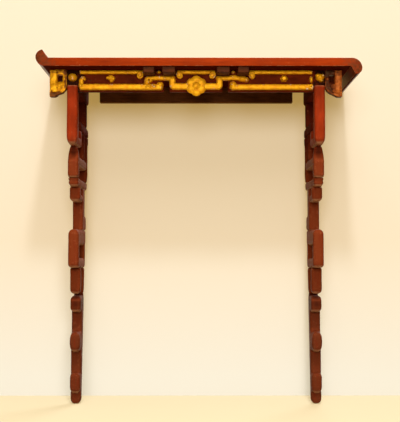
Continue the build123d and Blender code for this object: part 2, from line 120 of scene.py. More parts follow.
# camera: at the height of a seated viewer, tilted up a little
cameraView = {"lens": 80.8, "sensor": 36, "place": (-0.0045, -2.424, 0.365), "tiltUp": 2.96,
              "turnRight": 0.18}

camera = link("camera", bpy.data.cameras.new("camera"))
camera.data.lens = cameraView["lens"]
camera.data.sensor_width = cameraView["sensor"]
camera.location = cameraView["place"]
turn = Matrix.Rotation(math.radians(-cameraView["turnRight"]), 3, "Z")
tilt = Matrix.Rotation(math.radians(90 + cameraView["tiltUp"]), 3, "X")
camera.rotation_euler = (turn @ tilt).to_euler()
bpy.context.scene.camera = camera
bpy.context.scene.view_settings.view_transform = "Standard"

# stage: a pale floor and a wall that the table stands against
stage = {
    "width": 6.0, "front": 4.0, "height": 4.0, "wallGap": 2 * mm,
    # each sheet's paint, and the glow that it shows the eye though it is no lamp, low down and higher up
    "floor": {"paint": "#FFF6DC", "glowLow": "#FFE2A0", "glow": "#FFE2A0"},
    "wall": {"paint": "#FFFEFA", "glowLow": "#FFF2CC", "glow": "#FFD070"},
    "glowSpread": (0.05, 0.42, 1), "glowShare": 0.38,
    # what the paint gives back to the table
    "bounce": "#6E5F48"}


def stageSheet(name, corners):
    # matt paint, pale to the eye and in the lacquer's gloss, which gives back little light of its own;
    # its back lets light through, so the table can be seen from behind
    look = stage[name]
    material, tree = newMaterial(name)
    geometry = addNode(tree, "ShaderNodeNewGeometry")
    path = addNode(tree, "ShaderNodeLightPath")
    seen = addNode(tree, "ShaderNodeMath", {
        0: path.outputs["Is Camera Ray"], 1: path.outputs["Is Glossy Ray"]}, operation="MAXIMUM")
    seenToo = addNode(tree, "ShaderNodeMath", {0: seen.outputs[0], 1: path.outputs["Is Transmission Ray"]},
                      operation="MAXIMUM")
    tone = addNode(tree, "ShaderNodeMix", {
        mixFactor: seenToo.outputs[0], mixA: toLinear(stage["bounce"]), mixB: toLinear(look["paint"])},
        data_type="RGBA")
    paint = addNode(tree, "ShaderNodeBsdfDiffuse", {"Color": tone.outputs[mixColour]})
    # painted glow, pale near the floor and orange higher up: it lightens the shadows and paints their warm
    # tone
    point = addNode(tree, "ShaderNodeTexCoord").outputs["Object"]
    place = addNode(tree, "ShaderNodeSeparateXYZ", {0: point})
    paintedGlow = coated(tree, toLinear(look["glowLow"]), [(look["glow"], place.outputs["Z"], stage["glowSpread"])])
    warm = addNode(tree, "ShaderNodeEmission", {"Color": paintedGlow, "Strength": 1.0})
    share = addNode(tree, "ShaderNodeMath", {0: seenToo.outputs[0], 1: stage["glowShare"]},
                    operation="MULTIPLY")
    face = addNode(tree, "ShaderNodeMixShader", {
        0: share.outputs[0], 1: paint.outputs[0], 2: warm.outputs[0]})
    clear = addNode(tree, "ShaderNodeBsdfTransparent")
    unseen = addNode(tree, "ShaderNodeMath", {
        0: geometry.outputs["Backfacing"], 1: path.outputs["Is Shadow Ray"]}, operation="MAXIMUM")
    mix = addNode(tree, "ShaderNodeMixShader", {
        0: unseen.outputs[0], 1: face.outputs[0], 2: clear.outputs[0]})
    addNode(tree, "ShaderNodeOutputMaterial", {"Surface": mix.outputs[0]})
    mesh = bpy.data.meshes.new(name)
    mesh.from_pydata(corners, [], [(0, 1, 2, 3)])
    mesh.materials.append(material)
    link(name, mesh)


halfWidth, stageFront, stageTop = stage["width"] / 2, -stage["front"], stage["height"]
wallY = cadBox[1].y + stage["wallGap"]
stageSheet("floor", [(-halfWidth, stageFront, 0), (halfWidth, stageFront, 0),
                     (halfWidth, wallY, 0), (-halfWidth, wallY, 0)])
stageSheet("wall", [(-halfWidth, wallY, 0), (halfWidth, wallY, 0),
                    (halfWidth, wallY, stageTop), (-halfWidth, wallY, stageTop)])

# light: a very wide soft box high in front, a smaller lamp that draws the top's shadow on the wall, a level
# soft box behind the viewer, a weak one behind the table, and a dim room
lights = {
    "highSoftBox": {"place": (-0.1, -4.5, 5.4), "aim": (0, 0.1, 0.5), "size": 3.6, "watts": 125,
                    "colour": "#FFFAF2"},
    "ceilingLamp": {"place": (0.2, -2.6, 4.56), "aim": (0, 0.1, 0.5), "size": 0.4, "watts": 95,
                    "colour": "#FFFAF2"},
    "levelSoftBox": {"place": (-0.1, -4.5, 1.3), "aim": (0, 0.1, 0.45), "size": 1.8, "watts": 115,
                     "colour": "#FFFAF2"},
    "backSoftBox": {"place": (0.9, 2.4, 2.2), "aim": (0, 0, 0.5), "size": 1.6, "watts": 45,
                    "colour": "#FFFFFF"},
}
# the room's light grows from level to overhead, between these two heights of the sky; the eye sees it plain
roomLight = {"seen": "#FBF3DF", "colour": "#FFE2B4", "level": 0.08, "overhead": 0.40, "growsFrom": 0.1,
             "growsTo": 0.9}

for name, light in lights.items():
    lamp = link(name, bpy.data.lights.new(name, "AREA"))
    lamp.data.shape = "DISK"
    lamp.data.size = light["size"]
    lamp.data.energy = light["watts"]
    lamp.data.color = toLinear(light["colour"])[:3]
    lamp.location = light["place"]
    lamp.rotation_euler = (Vector(light["aim"]) - lamp.location).to_track_quat("-Z", "Y").to_euler()

room = bpy.data.worlds.new("room")
bpy.context.scene.world = room
room.use_nodes = True
roomTree = room.node_tree
roomTree.nodes.clear()
direction = addNode(roomTree, "ShaderNodeTexCoord").outputs["Generated"]
upward = addNode(roomTree, "ShaderNodeSeparateXYZ", {0: direction})
dim = addNode(roomTree, "ShaderNodeMapRange", {
    rangeIn: upward.outputs["Z"], fromLow: roomLight["growsFrom"], fromHigh: roomLight["growsTo"],
    toLow: roomLight["level"], toHigh: roomLight["overhead"]})
seen = addNode(roomTree, "ShaderNodeLightPath").outputs["Is Camera Ray"]
strength = addNode(roomTree, "ShaderNodeMix", {mixFactor: seen, mixFloatA: dim.outputs[0], mixFloatB: 1.0},
                   data_type="FLOAT")
tint = addNode(roomTree, "ShaderNodeMix", {
    mixFactor: seen, mixA: toLinear(roomLight["colour"]), mixB: toLinear(roomLight["seen"])},
    data_type="RGBA")
background = addNode(roomTree, "ShaderNodeBackground", {
    "Color": tint.outputs[mixColour], "Strength": strength.outputs[0]})
addNode(roomTree, "ShaderNodeOutputWorld", {"Surface": background.outputs[0]})
print("camera, stage and lights are in place")


# lacquers: many thin coats of tinted varnish brushed over wood, so the colour is deep and uneven
def brushedLacquer(name, look):
    material, tree = newMaterial(name)
    point = addNode(tree, "ShaderNodeTexCoord").outputs["Object"]
    # slow drift of colour where the coats are thicker
    cloud = addNode(tree, "ShaderNodeTexNoise", {"Vector": point, "Scale": 1 / look["cloud"], "Detail": 3.0})
    # rubbed spots and small chips
    chips = addNode(tree, "ShaderNodeTexNoise", {
        "Vector": point, "Scale": 1 / look["chip"], "Detail": 4.0, "Roughness": 0.6})
    # streaks that the brush left along the boards
    stretched = addNode(tree, "ShaderNodeMapping", {"Vector": point, "Scale": look["streak"]})
    streaks = addNode(tree, "ShaderNodeTexNoise", {
        "Vector": stretched.outputs[0], "Scale": 1 / look["streakWidth"], "Detail": 2.0})
    # tones that change with the place, their edges broken up by the same noise as the chips
    place = addNode(tree, "ShaderNodeSeparateXYZ", {0: point})
    outward = addNode(tree, "ShaderNodeMath", {0: place.outputs["X"]}, operation="ABSOLUTE")
    aside = addNode(tree, "ShaderNodeMath", {
        0: chips.outputs["Fac"], 1: look["blotch"], 2: outward.outputs[0]}, operation="MULTIPLY_ADD")
    # which way a face looks: tones paint shade on the top's downward faces and bounce light on the panels'
    normal = addNode(tree, "ShaderNodeNewGeometry").outputs["Normal"]
    facing = addNode(tree, "ShaderNodeSeparateXYZ", {0: normal})
    along = {"aside": aside.outputs[0], "height": place.outputs["Z"], "facingUp": facing.outputs["Z"]}
    tones = [(tint, along[axis], (begins, full, 1)) for tint, axis, begins, full in look["tones"]]
    # on worked pieces, arrises rubbed lighter, also a painted highlight, and painted shade in the cuts, with
    # dark wax
    hollow = addNode(tree, "ShaderNodeAttribute", attribute_name="hollow").outputs["Fac"]
    ridge = addNode(tree, "ShaderNodeMath", {0: hollow, 1: -look["arrisWearAndHighlight"], 2: chips.outputs["Fac"]},
                    operation="MULTIPLY_ADD")
    colour = coated(tree, toLinear(look["deep"]), [
        (look["bright"], cloud.outputs["Fac"], look["cloudSpread"]),
        *tones,
        (look["streakTone"], streaks.outputs["Fac"], look["streakSpread"]),
        (look["worn"], chips.outputs["Fac"], look["chipSpread"]),
        (look["rubbed"], ridge.outputs[0], look["rubSpread"]),
        (look["waxAndShade"], hollow, look["waxAndShadeSpread"])])
    # brush marks and dents
    brush = addNode(tree, "ShaderNodeTexNoise", {"Vector": point, "Scale": 1 / look["brush"], "Detail": 3.0})
    bump = addNode(tree, "ShaderNodeBump", {
        "Height": brush.outputs["Fac"], "Distance": look["brushDepth"], "Strength": look["brushBump"]})
    low, high = look["brushSpread"]
    rough = addNode(tree, "ShaderNodeMapRange", {
        rangeIn: brush.outputs["Fac"], fromLow: low, fromHigh: high,
        toLow: look["rough"] - look["smoother"], toHigh: look["rough"] + look["rougher"]})
    shaded(tree, look, {"Base Color": colour, "Roughness": rough.outputs[0], "Normal": bump.outputs[0]})
    return material


# cinnabar lacquer, satin: orange red in front, browner towards the ends, painted shade underneath (deep red)
topLook = {
    "bright": "#AC3806", "deep": "#942E06", "cloud": 90 * mm, "cloudSpread": (0.35, 0.65, 1),
    # each tone is a colour, an axis, and where along it the colour sets in and is full
    "tones": [("#80381A", "aside", 0.41, 0.45), ("#482812", "aside", 0.447, 0.487),
              # painted shade: the faces that look down are darker
              ("#581806", "facingUp", -0.2, -0.6)],
    "blotch": 0.14,  # how far the noise of the chips moves the edges of the tones
    # the noise is stretched along the board
    "streak": (0.12, 1, 1), "streakWidth": 5 * mm, "streakTone": "#7C2208",
    "streakSpread": (0.45, 0.75, 0.55),
    "worn": "#C9794F", "chip": 7 * mm, "chipSpread": (0.72, 0.76, 1),
    "rubbed": "#C46A40", "arrisWearAndHighlight": 0.0, "rubSpread": (0.62, 1.1, 0.75),
    "waxAndShade": "#3A1006", "waxAndShadeSpread": (0.1, 0.5, 0.8),
    "brush": 9 * mm, "brushDepth": 0.15 * mm, "brushBump": 0.4, "brushSpread": (0.3, 0.7),
    "rough": 0.48, "smoother": 0.06, "rougher": 0.1, "gloss": 0.08, "glossTint": "#FFB890", "ior": 1.5}
# the flat underside was never polished: it gives back almost no light
undersideLook = dict(topLook, rough=0.7, gloss=0.012, brushDepth=0.05 * mm)
# the slopes under the ends shine from the hands that lift the table
handledLook = dict(topLook, rough=0.34, gloss=0.5, glossTint="#FFFFFF", brushDepth=0.05 * mm)
# the arrises are thin in colour and rubbed pale in spots; their paleness is also a painted highlight
topArrisLook = dict(topLook, bright="#B04A20", deep="#94340C", worn="#CF8458", chip=14 * mm,
                    chipSpread=(0.52, 0.56, 1), cloud=16 * mm, tones=topLook["tones"][:2])
# red-brown lacquer on the side panels: streaked up and down, pale on the arrises from wear and a painted
# highlight, browner towards the floor, and painted pale where it looks down: a painted reflection of bounce
# light
panelLook = dict(
    topLook, bright="#A83614", deep="#902C0C", rubbed="#C07048", arrisWearAndHighlight=0.4, cloud=45 * mm,
    chip=5 * mm, chipSpread=(0.71, 0.75, 1), brush=7 * mm, streak=(1, 1, 0.15),
    streakWidth=6 * mm, streakTone="#7A260E", rough=0.52, brushDepth=0.08 * mm, gloss=0.06,
    tones=[("#803618", "height", 0.68, 0.62), ("#6C3018", "height", 0.33, 0.24),
           # painted reflection: the faces that look down are pale
           ("#CC8C60", "facingUp", -0.4, -0.8)])
# the panels' inner members, with no polish: dull, and painted darker as the shade they stand in
innerShadedLook = dict(panelLook, bright="#6C2410", deep="#581C0C", rough=0.7, gloss=0.012, brushDepth=0.05 * mm,
                 tones=panelLook["tones"][:2])
# dark red lacquer behind the carving, nearly matt, so that the gold stands out; painted shade at its ends, by
# the legs
groundLook = dict(
    topLook, bright="#6E2409", deep="#541806", worn="#7E3A20", cloud=26 * mm,
    chipSpread=(0.76, 0.8, 1), rough=0.55, gloss=0.05, streakTone="#441204",
    # painted shade: darker at the ends
    tones=[("#2A1209", "aside", 0.352, 0.364)])
# plum lacquer on the blocks under the overhang: thin, so the brown wood shows through
plumLook = dict(groundLook, tones=[], bright="#5E2E14", deep="#4A2418", worn="#8A5A3C", cloud=18 * mm,
                gloss=0.1, streakTone="#3A1A10")
# pine stained brown on the hidden timbers: matt and streaky
stainLook = dict(groundLook, tones=[], bright="#A0663A", deep="#7C4E2A", worn="#8A5A34", cloud=60 * mm,
                 rough=0.6, gloss=0.1, streakTone="#46260E")
# bare poplar pegs under a thin oil: pale and dry
poplarLook = dict(groundLook, tones=[], bright="#B08A5A", deep="#8E6A40", worn="#6E4E2C", cloud=10 * mm,
                  chip=4 * mm, brush=1.5 * mm, rough=0.6, gloss=0.1, streakTone="#7A5A34")


# gold leaf over red bole: bright where proud, rubbed to gesso on tips and painted highlight, brown in cuts
# and painted shade
def goldLeaf(name, look):
    material, tree = newMaterial(name)
    point = addNode(tree, "ShaderNodeTexCoord").outputs["Object"]
    hollow = addNode(tree, "ShaderNodeAttribute", attribute_name="hollow").outputs["Fac"]
    patches = addNode(tree, "ShaderNodeTexNoise", {
        "Vector": point, "Scale": 1 / look["patch"], "Detail": 3.0})
    # brown bole where the leaf never reached and, as painted shade, in the cuts; black for dust and deepest
    # painted shade
    specks = addNode(tree, "ShaderNodeTexNoise", {"Vector": point, "Scale": 1 / look["speck"], "Detail": 2.0})
    specksAndShade = addNode(tree, "ShaderNodeMath", {0: specks.outputs["Fac"], 1: look["speckle"], 2: hollow},
                     operation="MULTIPLY_ADD")
    # pale gesso where the tips are rubbed through, also a painted highlight on them
    rubs = addNode(tree, "ShaderNodeTexNoise", {"Vector": point, "Scale": 1 / look["rub"], "Detail": 2.0})
    proud = addNode(tree, "ShaderNodeMapRange", {
        rangeIn: hollow, fromLow: 0.0, fromHigh: look["proudest"], toHigh: look["tipWearAndHighlight"]})
    tips = addNode(tree, "ShaderNodeMath", {0: proud.outputs[0], 1: rubs.outputs["Fac"]}, operation="ADD")
    colour = coated(tree, toLinear(look["leaf"]), [
        (look["warm"], patches.outputs["Fac"], look["warmSpread"]),
        (look["bole"], specksAndShade.outputs[0], look["boleSpread"]),
        (look["gesso"], tips.outputs[0], look["gessoSpread"]),
        (look["shadeAndGrime"], specksAndShade.outputs[0], look["shadeAndGrimeSpread"])])
    # the bole is no metal
    low, high = look["boleSpread"][:2]
    metal = addNode(tree, "ShaderNodeMapRange", {
        rangeIn: specksAndShade.outputs[0], fromLow: low, fromHigh: high, toLow: look["metal"], toHigh: 0.0})
    shaded(tree, look, {"Base Color": colour, "Roughness": look["rough"], "Metallic": metal.outputs[0]})
    return material


# aged leaf, half matt under old size: yellow gold with orange patches
leafLook = {
    "leaf": "#F4AE16", "warm": "#DC900C", "patch": 9 * mm, "warmSpread": (0.40, 0.62, 1),
    "bole": "#7A3A08", "speck": 2.5 * mm, "speckle": 0.6, "boleSpread": (0.38, 1.0, 1),
    "gesso": "#F8E4C0", "rub": 9 * mm, "proudest": -0.7, "tipWearAndHighlight": 0.3, "gessoSpread": (0.84, 0.94, 0.7),
    "shadeAndGrime": "#2E1408", "shadeAndGrimeSpread": (1.2, 1.9, 0.9),
    "rough": 0.45, "metal": 0.25, "gloss": 0.2, "glossTint": "#FFDC9A", "ior": 1.5}
# leaf rubbed nearly away, so the red bole shows through it
rubbedLook = dict(leafLook, leaf="#CC6C2A", warm="#A8501A", bole="#541E0C", gesso="#E0A870", metal=0.1,
                  gessoSpread=(0.88, 0.98, 0.7))

# the coats of a slot; a board has one for its faces and one for its arrises, and the top has two more,
# for the flat side that looks down and for the slopes under its ends
faceCoat, arrisCoat, flatUnderCoat, slopeCoat = 0, 1, 2, 3
# a panel has one for its outer members and one for its inner ones, painted darker as shade
outerCoat, innerShadedCoat = 0, 1
finishes = {
    "top_lacquer": (brushedLacquer("cinnabarLacquer", topLook),
                    brushedLacquer("cinnabarLacquerArris", topArrisLook),
                    brushedLacquer("unpolishedLacquer", undersideLook),
                    brushedLacquer("handPolishedLacquer", handledLook)),
    "panel_lacquer": (brushedLacquer("redBrownLacquer", panelLook),
                      brushedLacquer("unpolishedShadedLacquer", innerShadedLook)),
    "ground_lacquer": (brushedLacquer("darkRedLacquer", groundLook),) * 2,
    "plum_lacquer": (brushedLacquer("plumLacquer", plumLook),) * 2,
    "dark_stain": (brushedLacquer("stainedPine", stainLook),) * 2,
    "bare_wood": (brushedLacquer("barePoplar", poplarLook),),
    "gilt": (goldLeaf("goldLeaf", leafLook),),
    "worn_gilt": (goldLeaf("rubbedGoldLeaf", rubbedLook),),
}
print("lacquers and gold leaf are mixed")


# shared by all worked pieces
def applied(piece):
    # the finished mesh of an object with its modifiers, and the object gone
    depsgraph = bpy.context.evaluated_depsgraph_get()
    mesh = bpy.data.meshes.new_from_object(piece.evaluated_get(depsgraph))
    bpy.data.objects.remove(piece)
    return mesh


def meshOf(name, work):
    mesh = bpy.data.meshes.new(name)
    work.to_mesh(mesh)
    work.free()
    return mesh


def joined(name, parts):
    work = bmesh.new()
    for part in parts:
        work.from_mesh(part)
    return meshOf(name, work)


def softened(name, parts, grain, passes):
    # the parts melted into one body on a grid, and its edges worn round
    block = link(name, joined(name, parts))
    melt = block.modifiers.new("melt", "REMESH")
    melt.mode = "VOXEL"
    melt.voxel_size = grain
    block.modifiers.new("soften", "SMOOTH").iterations = passes
    return applied(block)


def ramp(distance, fade):
    # grows from 0 to 1 over the fade
    return min(max(distance / fade, 0), 1)


def readPoints(mesh, name="co"):
    values = np.empty(len(mesh.vertices) * 3)
    mesh.vertices.foreach_get(name, values)
    return values.reshape(-1, 3)


def neighbourMean(values, ends, degree):
    # each point's average over the points that it shares an edge with
    total = np.zeros_like(values)
    for k in range(values.shape[1]):
        total[:, k] = (np.bincount(ends[:, 0], values[ends[:, 1], k], len(values)) +
                       np.bincount(ends[:, 1], values[ends[:, 0], k], len(values)))
    return total / degree[:, None]


eveningPasses = 2


def markHollows(mesh, reach, scale, paintedShadingAt=None):
    # how deep each point lies below its surroundings: above 0 in a cut, below 0 on a ridge
    places, normals = readPoints(mesh), readPoints(mesh, "normal")
    ends = np.empty(len(mesh.edges) * 2, dtype=np.int64)
    mesh.edges.foreach_get("vertices", ends)
    ends = ends.reshape(-1, 2)
    degree = np.maximum(np.bincount(ends.ravel(), minlength=len(places)), 1)
    level = places
    for _ in range(reach):
        level = neighbourMean(level, ends, degree)
    depth = ((level - places) * normals).sum(axis=1, keepdims=True) / scale
    for _ in range(eveningPasses):
        depth = neighbourMean(depth, ends, degree)
    if paintedShadingAt:
        # painted shade counts as a hollow, and a painted highlight as a ridge
        depth[:, 0] += [paintedShadingAt(*place) for place in places]
    mesh.attributes.new("hollow", "FLOAT", "POINT").data.foreach_set("value", depth.ravel())


def finishPiece(name, mesh, slot, *nodes, coat=0):
    mesh.materials.clear()
    mesh.materials.append(finishes[slot][coat])
    mesh.shade_smooth()
    piece = link(name, mesh)
    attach(piece, "root")
    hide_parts(*nodes)


# top with its ends, and hidden timbers: planed boards with their arrises eased
easing = {
    # the arris: its width, its steps, and the angle in degrees above which an edge is one
    "width": 2.2 * mm, "segments": 3, "sharpAngle": 28,
    # doubled corners closer than this are merged, and faces within this many degrees are one
    "merge": 0.01 * mm, "flat": 0.4,
    # glue fills this clearance, this far above and below the middle of the board
    "gap": 0.4 * mm, "tongue": 4.5 * mm,
    # a face looks down, or is the flat underside, when its normal's height is below this
    "under": -0.15, "flatUnder": -0.97}


def mergeFaces(work):
    bmesh.ops.remove_doubles(work, verts=work.verts, dist=easing["merge"])
    bmesh.ops.dissolve_limit(work, angle_limit=math.radians(easing["flat"]), verts=work.verts,
                             edges=work.edges)
    for face in work.faces:
        face.smooth = True
        face.material_index = faceCoat


def mergedCopy(node):
    mesh = frame["nodes"][node].data.copy()
    work = bmesh.new()
    work.from_mesh(mesh)
    mergeFaces(work)
    work.to_mesh(mesh)
    work.free()
    return mesh


def gluedUp(nodes):
    # one body from boards whose joints the lacquer covers
    blocks = [link(node, mergedCopy(node)) for node in nodes]
    for node in nodes[1:]:
        # glue fills the clearance round the tongue
        (lowA, highA), (lowB, highB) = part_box(nodes[0]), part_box(node)
        gap = Vector((easing["gap"], 0, easing["gap"]))
        low = Vector([max(lowA[k], lowB[k]) for k in range(3)]) - gap
        high = Vector([min(highA[k], highB[k]) for k in range(3)]) + gap
        middle = (lowA.z + highA.z) / 2
        low.z, high.z = middle - easing["tongue"], middle + easing["tongue"]
        work = bmesh.new()
        bmesh.ops.create_cube(work, size=1)
        work.transform(Matrix.Translation((low + high) / 2) @ Matrix.Diagonal((*(high - low), 1)))
        blocks.append(link("glueLine", meshOf("glueLine", work)))
    for block in blocks[1:]:
        glue = blocks[0].modifiers.new("glue", "BOOLEAN")
        glue.operation = "UNION"
        glue.solver = "EXACT"
        glue.object = block
    mesh = applied(blocks[0])
    for block in blocks[1:]:
        bpy.data.objects.remove(block)
    return mesh


def easedBoard(slot, *nodes):
    mesh = gluedUp(nodes)
    mesh.materials.clear()
    for material in finishes[slot]:
        mesh.materials.append(material)
    work = bmesh.new()
    work.from_mesh(mesh)
    mergeFaces(work)
    weight = work.edges.layers.float.new("bevel_weight_edge")
    for edge in work.edges:
        edge[weight] = float(edge.calc_face_angle(0) > math.radians(easing["sharpAngle"]))
    for face in work.faces:
        if len(finishes[slot]) > flatUnderCoat and face.normal.z < easing["under"]:
            face.material_index = flatUnderCoat if face.normal.z < easing["flatUnder"] else slopeCoat
    work.to_mesh(mesh)
    work.free()
    piece = link(nodes[0] + "_board", mesh)
    soft = piece.modifiers.new("easedArris", "BEVEL")
    soft.width = easing["width"]
    soft.segments = easing["segments"]
    soft.limit_method = "WEIGHT"
    soft.harden_normals = True
    soft.material = arrisCoat
    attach(piece, "root")
    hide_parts(*nodes)


slots = {entry["node"]: entry["material_slot"] for entry in frame["record"]["subparts"]}
easedBoard("top_lacquer", "top_plank", "left_end_lip", "right_end_lip")
for node, slot in slots.items():
    if slot in ("dark_stain", "ground_lacquer", "plum_lacquer"):
        easedBoard(slot, node)
print("top and hidden timbers are eased and finished")

# side panels: each member is worked by hand, narrowed where it meets the next
panel = {
    # the grid that a member is worked on, and how often it is smoothed
    "grain": 1.6 * mm, "soften": 24, "legSoften": 40,
    # the tool's waver on the side faces and, shifted, in a band along the front and back edges
    "wave": 0.35 * mm, "waveLength": 34 * mm, "waveShift": (7, 3, 1), "edgeBand": 3 * mm,
    # lower and upper ends of the leg's lobes
    "lobes": {"kneeLobe": (233 * mm, 274 * mm), "oval": (133 * mm, 183 * mm), "ankle": (30 * mm, 79 * mm)},
    # waists: a member or lobe and its lower (0) or upper (1) end, then in mm how much comes off each side
    # face, reach above and below, how far back it goes, and how deep the front is cut back just below
    "waists": [("front_post", 0, 8.0, 22, 40, 60, 15), ("front_lobe", 0, 3.0, 8, 8, 60, 0),
               ("loop_top", 1, 6.0, 4, 18, 70, 0), ("loop_bottom", 0, 3.0, 8, 4, 70, 0),
               ("knee_hook", 0, 5.0, 14, 16, 150, 9), ("lower_leg", 0, 7.0, 16, 1, 150, 0),
               ("bracket_rail", 0, 4.5, 20, 1, 60, 0), ("under_hook", 0, 5.0, 14, 1, 90, 0),
               ("kneeLobe", 0, 3.5, 12, 1, 100, 0), ("oval", 1, 8.0, 1, 25, 100, 0),
               ("oval", 0, 8.0, 24, 1, 100, 0), ("ankle", 1, 4.0, 1, 14, 100, 0),
               ("ankle", 0, 5.0, 16, 1, 100, 0)],
    # a waist fades out over this depth, takes off this share of a side at most, and its cut grows this fast
    "waistFade": 20 * mm, "waistMost": 0.6, "cutGrowth": 1.3,
    # painted shade: how dark the members' ends and the heads of two lobes are painted, and how far down it
    # reaches
    "endShade": 0.24, "endReach": 9 * mm,
    "lobeShade": 0.5, "lobeGrowth": 2, "lobeReach": 46 * mm, "kneeReach": 48 * mm,
    # painted highlight: the front of the post's head is painted pale
    "headHighlight": 1.6, "headReach": 5 * mm, "headDeep": 5 * mm,
    "cutReach": 4, "cutScale": 1.0 * mm,
    "inner": ("head_rail", "link_rail", "rear_post", "rear_drop", "inner_post"),
    # the four sides of the loop are finished as one frame
    "loop": ("loop_top", "loop_bottom", "loop_front", "loop_rear")}


def waistHeight(side, form, end):
    if form in panel["lobes"]:
        return panel["lobes"][form][end]
    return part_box(side + "_" + form)[end].z


def workMember(side, *parts):
    nodes = [side + "_" + part for part in parts]
    boxes = [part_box(node) for node in nodes]
    low = Vector([min(box[0][k] for box in boxes) for k in range(3)])
    high = Vector([max(box[1][k] for box in boxes) for k in range(3)])
    postLow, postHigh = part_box(side + "_front_post")
    middle, half = (postLow.x + postHigh.x) / 2, (postHigh.x - postLow.x) / 2
    mesh = softened(nodes[0], [mergedCopy(node) for node in nodes], panel["grain"],
                    panel["legSoften"] if parts[0] == "lower_leg" else panel["soften"])
    places = readPoints(mesh)
    waists = [(waistHeight(side, form, end), *sizes) for form, end, *sizes in panel["waists"]]
    for place in places:
        narrowed, cutBack = 0.0, 0.0
        for z, depth, above, below, back, cut in waists:
            near = 1 - abs(place[2] - z) / ((above if place[2] > z else below) * mm)
            ahead = 1 - ramp(place[1] - postLow.y - back * mm, panel["waistFade"])
            if near > 0:
                narrowed += depth * mm * (1 - math.sqrt(1 - near * near)) * ahead
                if place[2] < z:
                    cutBack += cut * mm * min(near * panel["cutGrowth"], 1) * ahead
        place[0] = middle + (place[0] - middle) * (1 - min(narrowed / half, panel["waistMost"]))
        place[1] += cutBack * ramp(high.y - place[1], high.y - low.y)
        spot = Vector(place) / panel["waveLength"]
        place[0] += panel["wave"] * noise.noise(spot)
        if not low.y + panel["edgeBand"] < place[1] < high.y - panel["edgeBand"]:
            place[1] += panel["wave"] * noise.noise(spot + Vector(panel["waveShift"]))
    mesh.vertices.foreach_set("co", places.ravel())
    mesh.update()
    # the lobes whose heads lie in the dark under another member, and how far down the dark reaches
    darkHeads = {"front_lobe": (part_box(side + "_front_lobe")[1].z, panel["lobeReach"]),
                 "lower_leg": (panel["lobes"]["kneeLobe"][1], panel["kneeReach"])}
    headTop = places[places[:, 1] < low.y + panel["headDeep"]][:, 2].max()

    # painted shade at the members' ends and on the lobes' heads, and a painted highlight on the post's head
    def paintedShading(x, y, z):
        amount = panel["endShade"] * max(1 - min(z - low.z, high.z - z) / panel["endReach"], 0)
        if parts[0] in darkHeads:
            head, reach = darkHeads[parts[0]]
            if z < head + panel["headDeep"]:
                amount += panel["lobeShade"] * min(max((z - head) / reach + 1, 0) * panel["lobeGrowth"], 1)
        if parts[0] == "front_post" and y < low.y + panel["headDeep"]:
            amount -= panel["headHighlight"] * max(1 - (headTop - z) / panel["headReach"], 0)
        return amount

    markHollows(mesh, panel["cutReach"], panel["cutScale"], paintedShading)
    finishPiece(nodes[0] + "_worked", mesh, "panel_lacquer", *nodes,
                coat=innerShadedCoat if parts[0] in panel["inner"] else outerCoat)


for side in ("left", "right"):
    for node, slot in slots.items():
        part = node[len(side) + 1:]
        if slot == "panel_lacquer" and node.startswith(side) and part not in panel["loop"]:
            workMember(side, part)
    workMember(side, *panel["loop"])
print("side panel members are worked")

# gilt carving, drawn on the frieze: x from its middle, y up from its lower edge, z out of its face, in mm
friezeLow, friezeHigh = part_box("frieze_board")
toFrieze = (Matrix.Translation(((friezeLow.x + friezeHigh.x) / 2, friezeLow.y, friezeLow.z)) @
            Matrix.Rotation(math.radians(90), 4, "X") @ Matrix.Scale(mm, 4))


def onFrieze(node):
    # a node's edges on the frieze's drawing, by name
    low, high = (toFrieze.inverted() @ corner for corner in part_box(node))
    return {"left": low.x, "right": high.x, "bottom": low.y, "top": high.y, "middle": (low.y + high.y) / 2}


def newTree(name, sizes):
    # a Geometry Nodes tree with a named input for each size
    tree = bpy.data.node_groups.new(name, "GeometryNodeTree")
    tree.interface.new_socket("Geometry", in_out="INPUT", socket_type="NodeSocketGeometry")
    for label, value in sizes.items():
        kind = "NodeSocketInt" if isinstance(value, int) else "NodeSocketFloat"
        tree.interface.new_socket(label, in_out="INPUT", socket_type=kind).default_value = value
    tree.interface.new_socket("Geometry", in_out="OUTPUT", socket_type="NodeSocketGeometry")
    return tree, addNode(tree, "NodeGroupInput").outputs


def endTree(tree, geometry):
    real = addNode(tree, "GeometryNodeRealizeInstances", {0: geometry})
    leafed = addNode(tree, "GeometryNodeSetMaterial", {
        "Geometry": real.outputs[0], "Material": finishes["gilt"][0]})
    addNode(tree, "NodeGroupOutput", {0: leafed.outputs[0]})


def runTree(source, tree, sizes):
    grower = source.modifiers.new(tree.name, "NODES")
    grower.node_group = tree
    for item in tree.interface.items_tree:
        if item.in_out == "INPUT" and item.name in sizes:
            grower[item.identifier] = sizes[item.name]
    return applied(source)


# a strap follows its line with rounded turns; the half of its section below the ground is cut away later
strapTree, given = newTree("strapAlongLine", {"Width": 10.0, "Relief": 10.0, "Edge": 3.0, "Turn": 5.0})
line = addNode(strapTree, "GeometryNodeFilletCurve", {
    "Curve": given["Geometry"], "Radius": given["Turn"], "Count": 6, "Limit Radius": True}, mode="POLY")
flat = addNode(strapTree, "GeometryNodeSetCurveNormal", {"Curve": line.outputs[0]}, mode="Z_UP")
doubled = addNode(strapTree, "ShaderNodeMath", {0: given["Relief"], 1: 2.0}, operation="MULTIPLY")
section = addNode(strapTree, "GeometryNodeCurvePrimitiveQuadrilateral", {
    "Width": given["Width"], "Height": doubled.outputs[0]})
rounded = addNode(strapTree, "GeometryNodeFilletCurve", {
    "Curve": section.outputs[0], "Radius": given["Edge"], "Count": 5, "Limit Radius": True}, mode="POLY")
strapBody = addNode(strapTree, "GeometryNodeCurveToMesh", {
    "Curve": flat.outputs[0], "Fill Caps": True, "Profile Curve": rounded.outputs[0]})
endTree(strapTree, strapBody.outputs[0])

